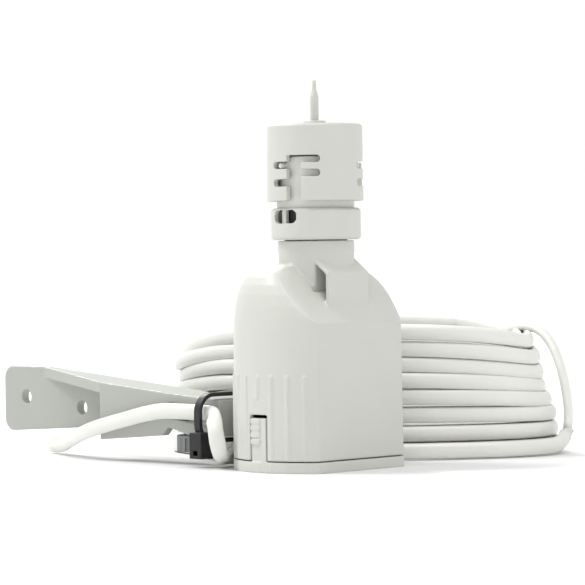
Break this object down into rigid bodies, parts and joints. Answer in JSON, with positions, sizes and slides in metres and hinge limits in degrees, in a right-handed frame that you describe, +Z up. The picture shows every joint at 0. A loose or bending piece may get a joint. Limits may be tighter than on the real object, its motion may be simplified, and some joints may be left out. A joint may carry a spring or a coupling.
{
  "type": "rain sensor",
  "caption": "Wired irrigation rain sensor: flat-fronted housing, vent ring, adjustable cap with a test spindle, gutter bracket and a coiled flat cable.",
  "frame": {"origin": "centre of the base's underside, on the housing's axis", "axes": "+Z up the housing's axis to the test spindle, -Y out of the flat front, +Y the cable's exit, latches on -X and +X"},
  "size_m": [0.1321, 0.1637, 0.1122],
  "materials": {
    "housing_white": "moulded off-white ABS, satin",
    "bracket_white": "moulded greyer white ABS, satin",
    "inner_white": "moulded white plastic, satin",
    "switch_grey": "dark phenolic",
    "button_red": "moulded acetal",
    "brass": "stamped, bright",
    "steel": "zinc-plated steel",
    "rubber": "moulded EPDM",
    "tie_black": "glossy black nylon",
    "screen_black": "woven black nylon screen",
    "cable_white": "smooth white PVC",
    "core_red": "PVC insulation",
    "core_black": "PVC insulation",
    "disc_tan": "pressed fibre disc"
  },
  "bodies": {
    "frame": {"housing": "housing_white", "base_cover": "housing_white", "vent_sleeve": "inner_white", "mounting_bracket": "bracket_white", "switch_carrier": "inner_white", "cable_clamp": "inner_white", "switch_case": "switch_grey", "terminal_common": "brass", "terminal_open": "brass", "terminal_closed": "brass", "switch_screw_1": "steel", "switch_screw_2": "steel", "carrier_screw_1": "steel", "carrier_screw_2": "steel", "clamp_screw_1": "steel", "clamp_screw_2": "steel", "return_spring": "steel", "captive_nut": "steel", "cable_grommet": "rubber", "insect_screen": "screen_black", "seal_boot": "rubber", "cable_tie": "tie_black", "cable_inner": "cable_white", "cable_lead": "cable_white", "cable_coil": "cable_white", "cable_tail": "cable_white", "core_common": "core_red", "core_closed": "core_black"},
    "cap": {"sensor_cap": "housing_white"},
    "ring": {"vent_ring": "housing_white"},
    "thumb": {"thumb_screw": "steel"},
    "spindle": {"test_spindle": "housing_white", "plunger": "inner_white", "top_washer": "steel", "hygroscopic_disc_1": "disc_tan", "hygroscopic_disc_2": "disc_tan", "hygroscopic_disc_3": "disc_tan", "hygroscopic_disc_4": "disc_tan", "hygroscopic_disc_5": "disc_tan", "hygroscopic_disc_6": "disc_tan", "hygroscopic_disc_7": "disc_tan"},
    "button": {"switch_button": "button_red"}
  },
  "joints": [
    {"name": "cap_turn", "type": "hinge", "parent": "frame", "child": "cap", "pos_m": [0, 0, 0.09], "axis": [0, 0, 1], "range_deg": [-26, 4]},
    {"name": "vent_ring_turn", "type": "hinge", "parent": "frame", "child": "ring", "pos_m": [0, 0, 0.07], "axis": [0, 0, 1], "range_deg": [-90, 90]},
    {"name": "thumb_screw_turn", "type": "hinge", "parent": "frame", "child": "thumb", "pos_m": [-0.011, 0.043, 0.006], "axis": [0, 0, 1], "range_deg": [-180, 180]},
    {"name": "spindle_press", "type": "slide", "parent": "frame", "child": "spindle", "axis": [0, 0, -1], "range_m": [0, 0.0015], "stiffness_N_per_m": 800, "springref_m": -0.0008, "deforming": ["return_spring"]},
    {"name": "button_press", "type": "slide", "parent": "frame", "child": "button", "axis": [0, 0, -1], "range_m": [0, 0.0016]}
  ],
  "couplings": [
    {"joint": "button_press", "follows": "spindle_press", "ratio": 1}
  ]
}
